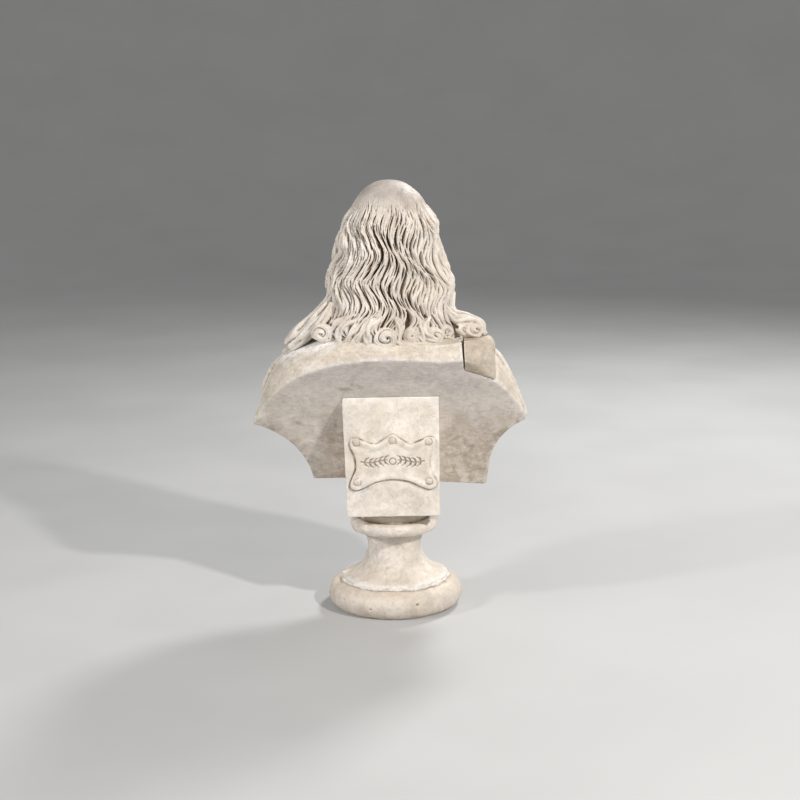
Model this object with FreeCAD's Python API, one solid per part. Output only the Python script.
"""A life-size marble portrait bust on a turned socle, as the separate pieces a mason sets together.

Millimetres. The origin is the centre of the socle's underside, +Z is up and the bust faces -Y,
so its hollowed back, its pillar and its name-plate face +Y. The figure's right side is at -X.
"""
import FreeCAD
import Part
import math
import os

# ---- driving dimensions -------------------------------------------------------------------------
total_height = 800.0

# turned socle: a torus-shaped foot, then a column with a scotia neck, an upper torus and a band
foot_r = 114.0
foot_torus_r = 127.0
foot_torus_z = 26.0
foot_height = 50.0
foot_shelf_r = 104.0
foot_joint = 2.0
plaster_inset = 1.0
fillet_r = 100.0
fillet_height = 6.0
fillet_curve = ((82.0, 65.0), (62.0, 82.0))
neck_r = 49.5
neck_z = 113.0
neck_top_r = 57.5
neck_top_z = 146.0
lip_out = 5.0
lip_up = 3.5
upper_torus_r = 83.5
upper_torus_z = 159.0
upper_torus_top_z = 168.5
upper_step = 4.0
band_r = 64.0
band_top_z = 184.0
bedding_inset = 2.0

# pillar that carries the bust and stands behind it in the hollow
pillar_bottom_z = 188.0
pillar_half_width = 85.5
pillar_lean = 5.5
pillar_back_y = 82.0
pillar_front_y = -70.0
pillar_top_limit_z = 440.0

# torso: the front drops to a cut lower edge, the back is scooped by one large cylinder
torso_bottom_z = 240.5
torso_shift_x = 3.0
scoop_radius = 800.0
scoop_rim = (140.0, 488.0)
scoop_at_pillar = (82.0, 414.0)
scoop_half_length = 400.0
joint_gap = 0.4

# the cut lower edge, in x and z: tips, a point on each hollow curve, and the two lower corners
left_tip = (262.0, 361.0)
left_curve = (187.0, 316.5)
left_corner = (150.0, torso_bottom_z)
left_pillar_side = (91.0, torso_bottom_z)
right_pillar_side = (-88.0, 229.0)
right_corner = (-172.0, 223.0)
right_corner_side = (-177.0, 228.0)
right_side = (-180.5, 268.0)
right_curve = (-202.0, 323.5)
right_tip = (-256.0, 364.0)
edge_plate_x = 330.0
edge_plate_y = 260.0
edge_plate_low_z = 150.0

# head and hair
neck_centre_y = 5.0
neck_tenon_r = 60.0
socket_floor_z = 500.0
neck_bed = 3.0
throat_half_width = 60.0
throat_y = -38.0
chin_z = 574.0
nose_bridge = (0.0, -101.0, 690.0)
nose_tip = (0.0, -110.0, 655.0)
nose_bridge_r = 6.0
nose_tip_r = 13.0
neck_top_in_head_z = 620.0

# plate on the pillar and its five round-headed pins
plate_thickness = 5.0
plate_spot_depth = 2.0
pin_head_r = 7.5
pin_head_height = 4.0
pin_shank_r = 2.5
pin_shank_depth = 16.0
pin_places = ((66.0, 329.0), (0.0, 332.0), (-66.0, 329.0), (66.0, 254.5), (-66.0, 254.5))

# hidden iron work
rod_r = 8.0
rod_bottom_z = 6.0
rod_top_z = 228.0
rod_hole_r = 11.0
recess_r = 32.0
recess_depth = 30.0
washer_r = 24.0
washer_thickness = 4.0
nut_across_flats = 24.0
nut_height = 13.0
dowel_r = 6.0
dowel_x = 50.0
dowel_y = -42.0
dowel_z = (205.0, 285.0)
neck_dowel_r = 9.0
neck_dowel_z = (455.0, 570.0)
lappet_pin_r = 3.0
lappet_pin_y = (35.0, 95.0)
lappet_pin_z = 478.0

# pieced block of drapery on the figure's right shoulder, beside an open joint
lappet_x = (-187.0, -131.0)
lappet_front_y = 62.0
lappet_bottom_z = (445.0, 466.0)
lappet_mid_z = 482.0
lappet_top_z = 515.0
lappet_top_fall = 4.0
lappet_far_back_y = (104.0, 112.0, 102.0)
lappet_near_back_y = (136.0, 139.0, 124.0)
lappet_round = 9.0
open_joint_slope = 0.1
open_joint_y = (88.0, 160.0)
open_joint_z = (470.0, 560.0)

# torso sections: height, half width, centre y, depth to the front, depth to the back
torso_sections = (
    (205.0, 192.0, 10.0, 100.0, 95.0),
    (260.0, 221.0, 18.0, 127.0, 97.0),
    (310.0, 243.0, 26.0, 151.0, 98.0),
    (358.0, 251.5, 32.0, 165.0, 99.0),
    (384.0, 245.0, 32.0, 168.0, 105.0),
    (410.0, 235.5, 31.0, 164.0, 113.0),
    (437.0, 225.0, 30.0, 156.0, 121.0),
    (460.0, 212.0, 29.0, 144.0, 121.0),
    (478.0, 200.0, 28.0, 132.0, 117.0),
    (492.0, 183.0, 27.0, 118.0, 112.0),
    (508.0, 152.0, 25.0, 102.0, 105.0),
    (524.0, 115.0, 20.0, 86.0, 94.0),
    (540.0, 84.0, 14.0, 70.0, 76.0),
)
torso_squareness = 2.25

# head and hair sections: height, half width, centre y, depth to the front, depth to the back
head_sections = (
    (500.0, 136.0, 46.0, 64.0, 80.0),
    (540.0, 126.0, 40.0, 84.0, 84.0),
    (575.0, 118.5, 32.0, 112.0, 88.0),
    (610.0, 114.0, 28.0, 126.0, 91.0),
    (650.0, 107.0, 24.0, 129.0, 94.0),
    (690.0, 96.0, 20.0, 124.0, 97.0),
    (720.0, 88.0, 18.0, 118.0, 94.0),
    (745.0, 79.0, 18.0, 105.0, 86.0),
    (765.0, 67.0, 18.0, 86.0, 74.0),
    (780.0, 53.0, 18.0, 66.0, 59.0),
    (790.0, 39.0, 18.0, 47.0, 43.0),
    (796.5, 23.0, 18.0, 27.0, 26.0),
    (total_height, 7.0, 18.0, 9.0, 9.0),
)
head_shift_x = -2.0
head_squareness = 2.1

# locks and curls: start point, end point, radius
shoulder_locks = (
    ((108.0, 40.0, 557.0), (177.0, 25.0, 503.0), 16.0),
    ((100.0, 5.0, 575.0), (150.0, -30.0, 505.0), 18.0),
    ((-104.0, 45.0, 560.0), (-146.0, 62.0, 533.0), 19.0),
    ((-98.0, 5.0, 575.0), (-132.0, -40.0, 505.0), 18.0),
    ((86.0, -30.0, 640.0), (94.0, -106.0, 470.0), 18.0),
    ((-86.0, -30.0, 640.0), (-94.0, -106.0, 470.0), 18.0),
)
curl_row = 7
curl_row_half_width = 112.0
curl_r = 17.0
curl_y = 112.0
curl_row_bow = 26.0
curl_z = 530.0
side_curl = (-150.0, 84.0, 534.0)
side_curl_r = 22.0


# ---- small makers -------------------------------------------------------------------------------
def vec(x, y, z):
    return FreeCAD.Vector(x, y, z)


def save(shape, node):
    shape = shape.removeSplitter()
    solids = shape.Solids
    result = solids[0] if len(solids) == 1 else Part.makeCompound(solids)
    result.exportStep("parts/" + node + ".step")
    print(node, len(solids), "solid", round(result.Volume / 1000.0, 1), "cm3", result.isValid())
    return result


def cylinder(radius, z_low, z_high, x=0.0, y=0.0):
    return Part.makeCylinder(radius, z_high - z_low, vec(x, y, z_low))


def block(x, y, z):
    return Part.makeBox(x[1] - x[0], y[1] - y[0], z[1] - z[0], vec(x[0], y[0], z[0]))


def turned(edges):
    """Solid of revolution about the Z axis from a closed chain of edges in the XZ plane."""
    face = Part.Face(Part.Wire(edges))
    return face.revolve(vec(0, 0, 0), vec(0, 0, 1), 360)


def line(a, b):
    return Part.LineSegment(vec(a[0], 0, a[1]), vec(b[0], 0, b[1])).toShape()


def arc(a, through, b):
    return Part.Arc(vec(a[0], 0, a[1]), vec(through[0], 0, through[1]), vec(b[0], 0, b[1])).toShape()


def smooth(points):
    curve = Part.BSplineCurve()
    curve.interpolate([vec(r, 0, z) for r, z in points])
    return curve.toShape()


def capsule(start, end, radius):
    """A round-ended bar from start to end, turned in one piece."""
    a = vec(*start)
    b = vec(*end)
    length = (b - a).Length
    bow = radius * math.sqrt(0.5)
    edges = [
        arc((0.0, -radius), (bow, -bow), (radius, 0.0)),
        line((radius, 0.0), (radius, length)),
        arc((radius, length), (bow, length + bow), (0.0, length + radius)),
        line((0.0, length + radius), (0.0, -radius)),
    ]
    bar = turned(edges)
    bar.Placement = FreeCAD.Placement(a, FreeCAD.Rotation(vec(0, 0, 1), b - a))
    return bar


def ring_of_points(section, squareness, shift_x, count=28):
    """Superellipse whose front and back halves have their own depths."""
    z, half_width, centre_y, front, back = section
    points = []
    for i in range(count):
        t = 2 * math.pi * i / count
        c = math.cos(t)
        s = math.sin(t)
        x = half_width * math.copysign(abs(c) ** (2 / squareness), c)
        depth = back if s > 0 else front
        y = depth * math.copysign(abs(s) ** (2 / squareness), s)
        points.append(vec(shift_x + x, centre_y + y, z))
    return points


def lofted(sections, squareness, shift_x=0.0):
    wires = []
    for section in sections:
        curve = Part.BSplineCurve()
        curve.interpolate(Points=ring_of_points(section, squareness, shift_x), PeriodicFlag=True)
        wires.append(Part.Wire(curve.toShape()))
    return Part.makeLoft(wires, True, False)


# ---- socle --------------------------------------------------------------------------------------
def socle_foot():
    low = line((0.0, 0.0), (foot_r, 0.0))
    bulge = arc((foot_r, 0.0), (foot_torus_r, foot_torus_z), (foot_shelf_r, foot_height))
    top = line((foot_shelf_r, foot_height), (0.0, foot_height))
    axis = line((0.0, foot_height), (0.0, 0.0))
    foot = turned([low, bulge, top, axis])
    foot = foot.cut(cylinder(recess_r, 0.0, recess_depth))
    return foot.cut(cylinder(rod_hole_r, 0.0, foot_height))


def foot_joint_plaster():
    ring = cylinder(fillet_r - plaster_inset, foot_height, foot_height + foot_joint)
    return ring.cut(cylinder(rod_hole_r, foot_height, foot_height + foot_joint))


def socle_column():
    z0 = foot_height + foot_joint
    shelf_z = z0 + fillet_height
    lip = (neck_top_r + lip_out, neck_top_z + lip_up)
    step_r = band_r + upper_step
    edges = [
        line((0.0, z0), (fillet_r, z0)),
        line((fillet_r, z0), (fillet_r, shelf_z)),
        smooth([(fillet_r, shelf_z), *fillet_curve, (neck_r, neck_z), (neck_top_r, neck_top_z)]),
        line((neck_top_r, neck_top_z), lip),
        arc(lip, (upper_torus_r, upper_torus_z), (step_r, upper_torus_top_z)),
        line((step_r, upper_torus_top_z), (band_r, upper_torus_top_z)),
        line((band_r, upper_torus_top_z), (band_r, band_top_z)),
        line((band_r, band_top_z), (0.0, band_top_z)),
        line((0.0, band_top_z), (0.0, z0)),
    ]
    return turned(edges).cut(cylinder(rod_hole_r, z0, band_top_z))


def pillar_bedding():
    bed = cylinder(band_r - bedding_inset, band_top_z, pillar_bottom_z)
    return bed.cut(cylinder(rod_hole_r, band_top_z, pillar_bottom_z))


# ---- torso and pillar ---------------------------------------------------------------------------
def scoop(radius):
    """The long cylinder that hollows the back: it passes through the rim and the pillar's top edge."""
    mid_y = (scoop_rim[0] + scoop_at_pillar[0]) / 2
    mid_z = (scoop_rim[1] + scoop_at_pillar[1]) / 2
    run = scoop_rim[0] - scoop_at_pillar[0]
    rise = scoop_rim[1] - scoop_at_pillar[1]
    chord = math.hypot(run, rise)
    reach = math.sqrt(scoop_radius ** 2 - (chord / 2) ** 2)
    centre = vec(-scoop_half_length, mid_y + rise / chord * reach, mid_z - run / chord * reach)
    return Part.makeCylinder(radius, 2 * scoop_half_length, centre, vec(1, 0, 0))


def below_the_edge(drop=0.0):
    """Everything below the bust's cut lower edge: one plate in the XZ plane, pushed along Y."""
    side = edge_plate_x
    low = edge_plate_low_z
    edges = [
        arc(left_tip, left_curve, left_corner),
        line(left_corner, left_pillar_side),
        line(left_pillar_side, right_pillar_side),
        line(right_pillar_side, right_corner),
        line(right_corner, right_corner_side),
        line(right_corner_side, right_side),
        arc(right_side, right_curve, right_tip),
        line(right_tip, (-side, right_tip[1])),
        line((-side, right_tip[1]), (-side, low)),
        line((-side, low), (side, low)),
        line((side, low), (side, left_tip[1])),
        line((side, left_tip[1]), left_tip),
    ]
    plate = Part.Face(Part.Wire(edges))
    plate.translate(vec(0, -edge_plate_y, -drop))
    return plate.extrude(vec(0, 2 * edge_plate_y, 0))


def lappet_block(gap):
    """The pieced block before the scoop: its underside follows the rim and its back turns with the shoulder."""
    profiles = []
    for x, low, (back_low, back_mid, back_top) in (
        (lappet_x[1] + gap, lappet_bottom_z[1] - gap, lappet_near_back_y),
        (lappet_x[0] - gap, lappet_bottom_z[0] - gap, lappet_far_back_y),
    ):
        points = [
            vec(x, lappet_front_y - gap, low),
            vec(x, back_low, low),
            vec(x, back_mid, lappet_mid_z),
            vec(x, back_top, lappet_top_z),
            vec(x, lappet_front_y - gap, lappet_top_z + lappet_top_fall),
        ]
        profiles.append(Part.makePolygon(points + points[:1]))
    return Part.makeLoft(profiles, True, True)


def open_joint():
    """The dark wedge left open between the drapery and the pieced block, wide above and closed at the rim."""
    x = lappet_x[1]
    low, high = open_joint_z
    corners = [
        vec(x, open_joint_y[0], low),
        vec(x, open_joint_y[0], high),
        vec(x + open_joint_slope * (high - low), open_joint_y[0], high),
    ]
    face = Part.Face(Part.makePolygon(corners + corners[:1]))
    return face.extrude(vec(0, open_joint_y[1] - open_joint_y[0], 0))


def torso(outer):
    body = outer.cut(scoop(scoop_radius))
    body = body.cut(below_the_edge())
    body = body.cut(lappet_block(joint_gap))
    pocket_x = (lappet_x[0] - joint_gap, lappet_x[1] + joint_gap)
    pocket_y = (lappet_front_y - joint_gap, edge_plate_y)
    body = body.cut(block(pocket_x, pocket_y, (lappet_mid_z, total_height)))
    body = body.cut(open_joint())
    body = body.cut(cylinder(neck_tenon_r + joint_gap, socket_floor_z, total_height, 0.0, neck_centre_y))
    body = body.cut(neck_dowel())
    body = body.cut(lappet_pin())
    return body.cut(pillar_dowels())


def back_pillar():
    profiles = []
    for z, left in ((pillar_bottom_z, pillar_half_width), (pillar_top_limit_z, pillar_half_width + pillar_lean)):
        corners = [
            vec(-pillar_half_width, pillar_front_y, z),
            vec(left, pillar_front_y, z),
            vec(left, pillar_back_y, z),
            vec(-pillar_half_width, pillar_back_y, z),
        ]
        profiles.append(Part.makePolygon(corners + corners[:1]))
    shaft = Part.makeLoft(profiles, True, True)
    in_hollow = shaft.common(scoop(scoop_radius - joint_gap))
    under_chest = shaft.common(below_the_edge(joint_gap))
    pillar = in_hollow.fuse(under_chest)
    pillar = pillar.cut(cylinder(rod_r, pillar_bottom_z, rod_top_z))
    pillar = pillar.cut(pillar_dowels())
    for x, z in pin_places:
        pillar = pillar.cut(pin_shank(x, z))
    return pillar


def pillar_dowels():
    return Part.makeCompound([cylinder(dowel_r, dowel_z[0], dowel_z[1], x, dowel_y) for x in (-dowel_x, dowel_x)])


def shoulder_lappet():
    shape = lappet_block(0.0)
    outer_top = []
    for edge in shape.Edges:
        box = edge.BoundBox
        if box.XMax < lappet_x[0] + 1.0 and box.ZMin > lappet_top_z - 1.0:
            outer_top.append(edge)
    shape = shape.makeFillet(lappet_round, outer_top)
    return shape.cut(scoop(scoop_radius)).cut(lappet_pin())


def lappet_pin():
    start = vec((lappet_x[0] + lappet_x[1]) / 2, lappet_pin_y[0], lappet_pin_z)
    return Part.makeCylinder(lappet_pin_r, lappet_pin_y[1] - lappet_pin_y[0], start, vec(0, 1, 0))


# ---- plate --------------------------------------------------------------------------------------
def cartouche():
    """A plate cut like a stretched hide: five lobes about the pins, and hollow sides between them."""
    right_half = [
        (0.0, 345.0), (-15.0, 337.0), (-32.0, 327.5), (-50.0, 333.0), (-66.0, 341.5), (-78.0, 337.0),
        (-77.0, 323.0), (-68.5, 303.0), (-67.5, 280.0), (-76.0, 262.0), (-79.0, 249.0), (-69.0, 241.5),
        (-52.0, 246.5), (-30.0, 257.0), (0.0, 261.5),
    ]
    left_half = [(-x, z) for x, z in reversed(right_half[1:-1])]
    curve = Part.BSplineCurve()
    curve.interpolate(Points=[vec(x, pillar_back_y, z) for x, z in right_half + left_half], PeriodicFlag=True)
    plate = Part.Face(Part.Wire(curve.toShape())).extrude(vec(0, plate_thickness, 0))
    spot_y = pillar_back_y + plate_thickness - plate_spot_depth
    for x, z in pin_places:
        plate = plate.cut(Part.makeCylinder(pin_head_r, plate_thickness, vec(x, spot_y, z), vec(0, 1, 0)))
        plate = plate.cut(pin_shank(x, z))
    return plate


def pin_shank(x, z):
    reach = pin_shank_depth + plate_thickness - plate_spot_depth
    return Part.makeCylinder(pin_shank_r, reach, vec(x, pillar_back_y - pin_shank_depth, z), vec(0, 1, 0))


def cartouche_pins():
    """Each pin is a shank with a domed head that sits in the plate's shallow spot."""
    pins = []
    seat_y = pillar_back_y + plate_thickness - plate_spot_depth
    dome_r = (pin_head_r ** 2 + pin_head_height ** 2) / (2 * pin_head_height)
    for x, z in pin_places:
        ball = Part.makeSphere(dome_r, vec(x, seat_y + pin_head_height - dome_r, z))
        cap = ball.common(Part.makeCylinder(dome_r, dome_r, vec(x, seat_y, z), vec(0, 1, 0)))
        pins.append(cap.fuse(pin_shank(x, z)))
    return Part.makeCompound([pin.removeSplitter() for pin in pins])


# ---- head ---------------------------------------------------------------------------------------
def curl(radius, x, y, z):
    """A ball of hair; its seam is turned into the head."""
    ball = Part.makeSphere(radius)
    ball.Placement = FreeCAD.Placement(vec(x, y, z), FreeCAD.Rotation(vec(0, 0, 1), -90.0))
    return ball


def curls():
    shapes = [curl(side_curl_r, *side_curl)]
    for i in range(curl_row):
        x = -curl_row_half_width + 2 * curl_row_half_width * i / (curl_row - 1)
        y = curl_y - curl_row_bow * (x / curl_row_half_width) ** 2
        shapes.append(curl(curl_r, x, y, curl_z))
    return shapes


def nose():
    bridge = vec(*nose_bridge)
    run = vec(*nose_tip) - bridge
    return Part.makeCone(nose_bridge_r, nose_tip_r, run.Length, bridge, run)


def head(outer, lappet_space):
    shape = lofted(head_sections, head_squareness, head_shift_x)
    hollow_y = (-edge_plate_y, throat_y)
    throat = block((-throat_half_width, throat_half_width), hollow_y, (neck_dowel_z[0], chin_z))
    shape = shape.cut(throat)
    locks = [capsule(start, end, radius) for start, end, radius in shoulder_locks]
    shape = shape.fuse([nose()] + curls() + locks)
    shape = shape.cut(outer)
    shape = shape.cut(lappet_space)
    neck = cylinder(neck_tenon_r, socket_floor_z + neck_bed, neck_top_in_head_z, 0.0, neck_centre_y)
    return shape.fuse(neck).cut(neck_dowel())


def neck_bedding():
    bed = cylinder(neck_tenon_r, socket_floor_z, socket_floor_z + neck_bed, 0.0, neck_centre_y)
    return bed.cut(neck_dowel())


def neck_dowel():
    return cylinder(neck_dowel_r, neck_dowel_z[0], neck_dowel_z[1], 0.0, neck_centre_y)


# ---- iron work ----------------------------------------------------------------------------------
def rod_washer():
    washer = cylinder(washer_r, recess_depth - washer_thickness, recess_depth)
    return washer.cut(tie_rod())


def rod_nut():
    low = recess_depth - washer_thickness - nut_height
    corner_r = nut_across_flats / 2 / math.cos(math.pi / 6)
    corners = []
    for i in range(7):
        angle = math.pi / 3 * i
        corners.append(vec(corner_r * math.cos(angle), corner_r * math.sin(angle), low))
    nut = Part.Face(Part.makePolygon(corners)).extrude(vec(0, 0, nut_height))
    return nut.cut(tie_rod())


def recess_plug():
    """Plaster run into the recess under the foot, flush with the underside, round the nut and washer."""
    plug = cylinder(recess_r, 0.0, recess_depth)
    for inner in (tie_rod(), rod_nut(), rod_washer()):
        plug = plug.cut(inner)
    return plug


def tie_rod():
    return cylinder(rod_r, rod_bottom_z, rod_top_z)


def rod_grout():
    sleeve = cylinder(rod_hole_r, recess_depth, pillar_bottom_z)
    return sleeve.cut(cylinder(rod_r, recess_depth, pillar_bottom_z))


# ---- the assembly -------------------------------------------------------------------------------
def main():
    os.makedirs("parts", exist_ok=True)
    outer = lofted(torso_sections, torso_squareness, torso_shift_x)
    save(socle_foot(), "socle_foot")
    save(foot_joint_plaster(), "foot_joint_plaster")
    save(socle_column(), "socle_column")
    save(pillar_bedding(), "pillar_bedding")
    save(back_pillar(), "back_pillar")
    save(pillar_dowels(), "pillar_dowels")
    save(cartouche(), "cartouche")
    save(cartouche_pins(), "cartouche_pins")
    save(torso(outer), "torso")
    save(shoulder_lappet(), "shoulder_lappet")
    save(lappet_pin(), "lappet_pin")
    save(neck_bedding(), "neck_bedding")
    save(neck_dowel(), "neck_dowel")
    save(head(outer, lappet_block(joint_gap)), "head")
    save(tie_rod(), "tie_rod")
    save(rod_nut(), "rod_nut")
    save(rod_washer(), "rod_washer")
    save(rod_grout(), "rod_grout")
    save(recess_plug(), "recess_plug")


main()
